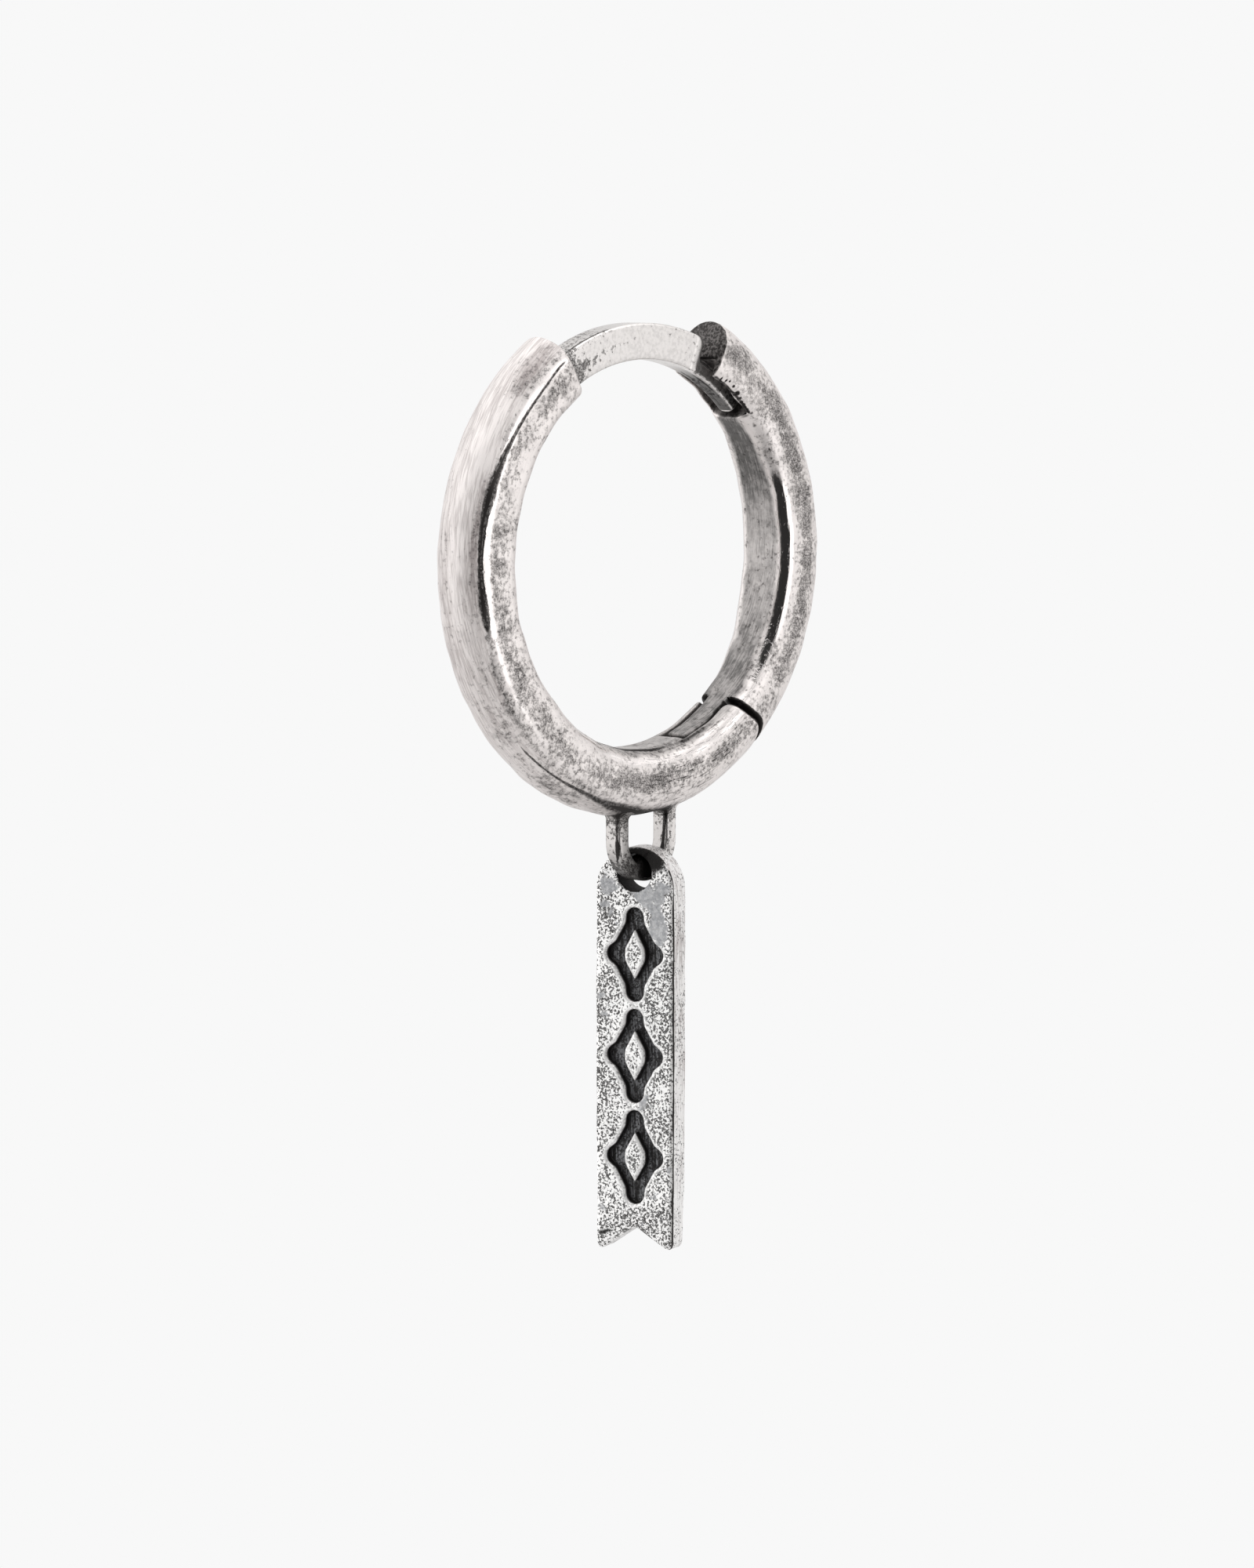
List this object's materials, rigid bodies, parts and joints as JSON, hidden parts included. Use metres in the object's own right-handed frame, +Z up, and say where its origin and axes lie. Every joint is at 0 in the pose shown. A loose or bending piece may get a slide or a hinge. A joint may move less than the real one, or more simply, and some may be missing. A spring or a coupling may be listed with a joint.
{
  "type": "huggie drop earring",
  "caption": "Hinged huggie hoop that closes round the ear lobe on a curved post, with a wire bail below that carries a long swallow-tail drop with sunk lozenge ornaments.",
  "frame": {"origin": "middle of the curved ear post at the top of the hoop, where the earring hangs in the lobe", "axes": "+Z up; +Y along the hoop's axis, from the side seen first towards the far side; -X towards the thick front arm, +X towards the hinged rear arm"},
  "size_m": [0.014, 0.0024, 0.0251],
  "materials": {
    "hoop_silver": "sterling silver, brushed outside, darkened in the corners",
    "arm_silver": "sterling silver, satin, rough dark end face",
    "pin_silver": "plain drawn silver wire",
    "drop_silver": "sterling silver, pitted face with blackened sunk ornaments"
  },
  "bodies": {
    "front": {"front_hoop": "hoop_silver", "hinge_pin": "pin_silver"},
    "rear": {"rear_arm": "arm_silver"},
    "drop": {"drop": "drop_silver"}
  },
  "joints": [
    {"name": "rear_hinge", "type": "hinge", "parent": "front", "child": "rear", "pos_m": [0.00354, 0, -0.01094], "axis": [0, 1, 0], "range_deg": [0, 40]},
    {"name": "drop_swing", "type": "hinge", "parent": "front", "child": "drop", "pos_m": [0.00033, 0, -0.01434], "axis": [0.9511, 0.309, 0], "range_deg": [-80, 80]}
  ]
}
